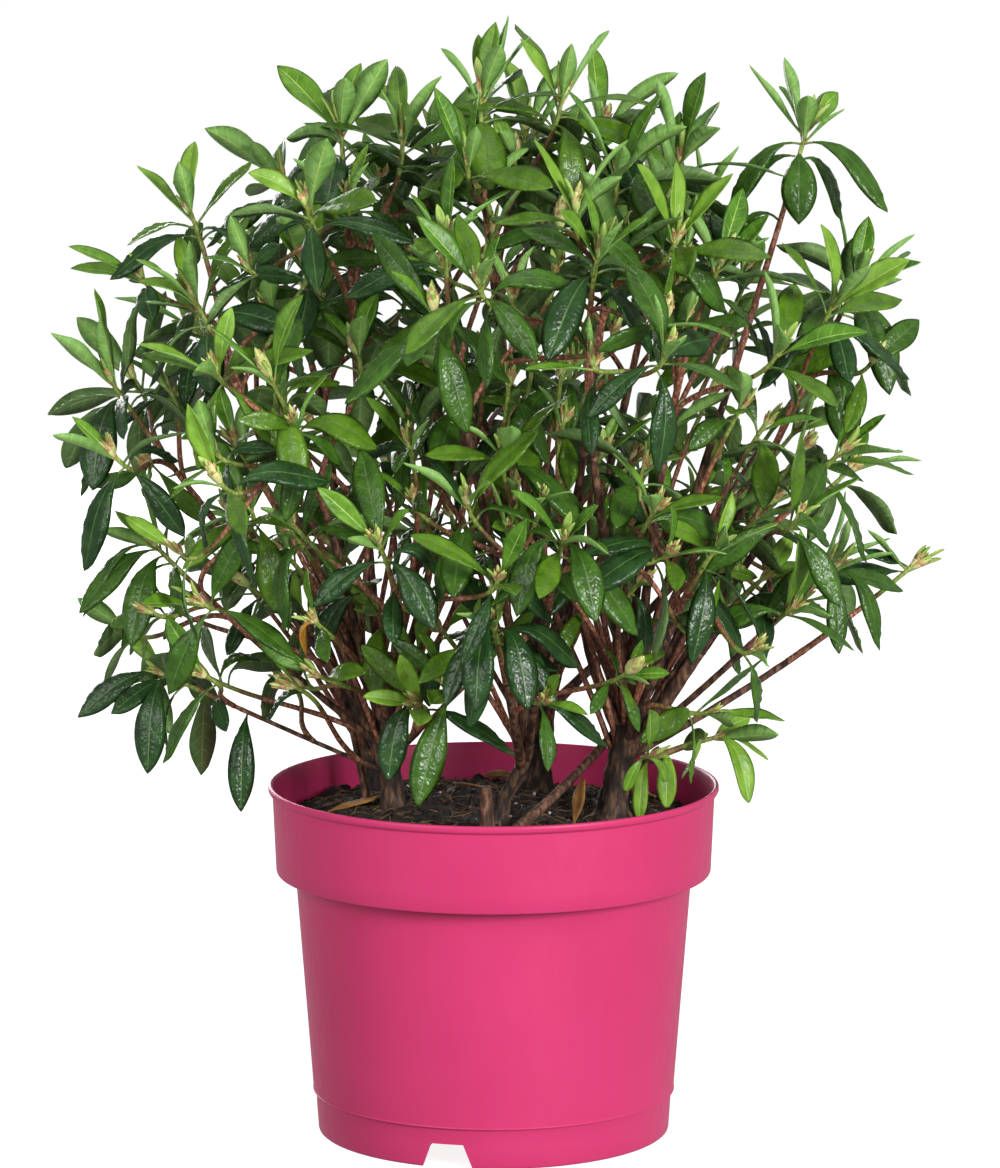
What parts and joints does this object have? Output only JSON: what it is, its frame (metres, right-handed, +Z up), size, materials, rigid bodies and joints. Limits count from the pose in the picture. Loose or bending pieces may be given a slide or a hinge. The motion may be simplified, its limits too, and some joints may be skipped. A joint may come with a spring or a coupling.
{
  "type": "potted japanese azalea",
  "caption": "Evergreen azalea shrub in a pink plastic nursery pot: forking stems on peat, fanning boughs, and masses of glossy lance-shaped leaves in whorls round pale flower buds.",
  "frame": {"origin": "centre of the flat underside of the pot, at the middle of its centre boss", "axes": "+Z up along the pot's axis; the front, as in the picture, faces -Y; +X is to the right seen from the front"},
  "size_m": [0.4676, 0.3924, 0.5712],
  "materials": {
    "pot": "satin",
    "soil": "matte",
    "bark": "matte",
    "leaf": "satin"
  },
  "bodies": {
    "root": {"pot": "pot", "soil": "soil", "bough_back_centre": "bark", "bough_back_left_low": "bark", "bough_back_left_upper": "bark", "bough_back_right_low": "bark", "bough_back_right_upper": "bark", "bough_back_top": "bark", "bough_centre_front": "bark", "bough_centre_upper": "bark", "bough_left_edge": "bark", "bough_left_front": "bark", "bough_left_low": "bark", "bough_left_mid_edge": "bark", "bough_left_shoulder": "bark", "bough_right_centre_upper": "bark", "bough_right_edge_mid": "bark", "bough_right_edge_upper": "bark", "bough_right_front": "bark", "bough_right_low_edge": "bark", "bough_right_low_front": "bark", "bough_right_outlier": "bark", "bough_right_upper": "bark", "bough_sprig_top_right": "bark", "bough_top_crown": "bark", "bough_top_right": "bark", "bough_upper_left": "bark", "foliage_back_centre": "leaf", "foliage_back_left_low": "leaf", "foliage_back_left_upper": "leaf", "foliage_back_right_low": "leaf", "foliage_back_right_upper": "leaf", "foliage_back_top": "leaf", "foliage_centre_front": "leaf", "foliage_centre_upper": "leaf", "foliage_front_low": "leaf", "foliage_left_edge": "leaf", "foliage_left_front": "leaf", "foliage_left_low": "leaf", "foliage_left_mid_edge": "leaf", "foliage_left_shoulder": "leaf", "foliage_low_front_left": "leaf", "foliage_low_right": "leaf", "foliage_right_centre_upper": "leaf", "foliage_right_edge_mid": "leaf", "foliage_right_edge_upper": "leaf", "foliage_right_front": "leaf", "foliage_right_low_edge": "leaf", "foliage_right_low_front": "leaf", "foliage_right_outlier": "leaf", "foliage_right_upper": "leaf", "foliage_sprig_top_right": "leaf", "foliage_top_crown": "leaf", "foliage_top_right": "leaf", "foliage_upper_left": "leaf", "stem_front": "bark", "stem_left": "bark", "stem_middle": "bark", "stem_rear": "bark", "stem_right": "bark"}
  },
  "joints": []
}
